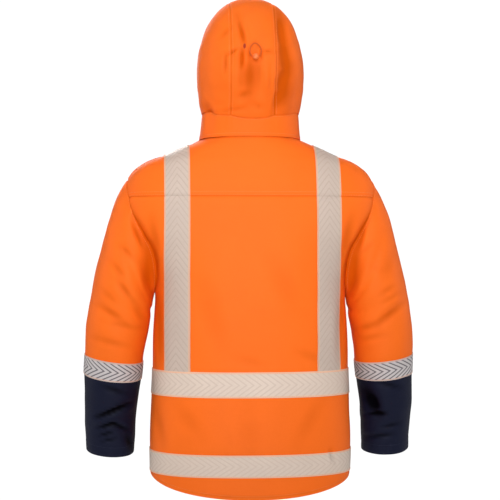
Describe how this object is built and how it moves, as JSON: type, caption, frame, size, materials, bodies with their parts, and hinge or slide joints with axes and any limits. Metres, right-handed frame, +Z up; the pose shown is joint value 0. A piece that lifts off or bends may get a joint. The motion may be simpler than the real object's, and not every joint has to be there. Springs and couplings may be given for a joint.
{
  "type": "hooded work jacket",
  "caption": "Hooded hi-vis softshell work jacket, zipped and filled out as worn, orange with navy forearms, chevron reflective tape and a dropped rounded back hem",
  "frame": {"origin": "at the middle of the neck base, between the shoulders, where a wearer's shoulders hold the jacket up", "axes": "+Z up towards the hood, front faces -Y, +X is the wearer's left"},
  "size_m": [0.6728, 0.2855, 0.9967],
  "materials": {
    "orange_cloth": "fluorescent orange softshell, matt, fine plain weave",
    "navy_cloth": "dark navy softshell, matt",
    "reflective_tape": "silver retroreflective tape with a fine chevron pattern",
    "zip_metal": "dark satin metal"
  },
  "bodies": {
    "jacket": {"back_panel": "orange_cloth", "back_yoke": "orange_cloth", "front_left": "orange_cloth", "front_right": "orange_cloth", "collar": "orange_cloth", "sleeve_left": "orange_cloth", "sleeve_right": "orange_cloth", "hood_centre": "orange_cloth", "hood_side_left": "orange_cloth", "hood_side_right": "orange_cloth", "hood_band": "orange_cloth", "adjuster_cord": "orange_cloth", "adjuster_toggle": "orange_cloth", "forearm_left": "navy_cloth", "forearm_right": "navy_cloth", "zip_left": "navy_cloth", "zip_right": "navy_cloth", "waist_tape_back": "reflective_tape", "waist_tape_front_left": "reflective_tape", "waist_tape_front_right": "reflective_tape", "hem_tape_back": "reflective_tape", "hem_tape_front_left": "reflective_tape", "hem_tape_front_right": "reflective_tape", "brace_left": "reflective_tape", "brace_right": "reflective_tape", "sleeve_tape_left": "reflective_tape", "sleeve_tape_right": "reflective_tape", "zip_slider": "zip_metal"},
    "pull": {"zip_pull": "zip_metal"}
  },
  "joints": [
    {"name": "zip_pull_hinge", "type": "hinge", "parent": "jacket", "child": "pull", "pos_m": [0, -0.09319, 0.01869], "axis": [-1, 0, 0], "range_deg": [0, 150]}
  ]
}
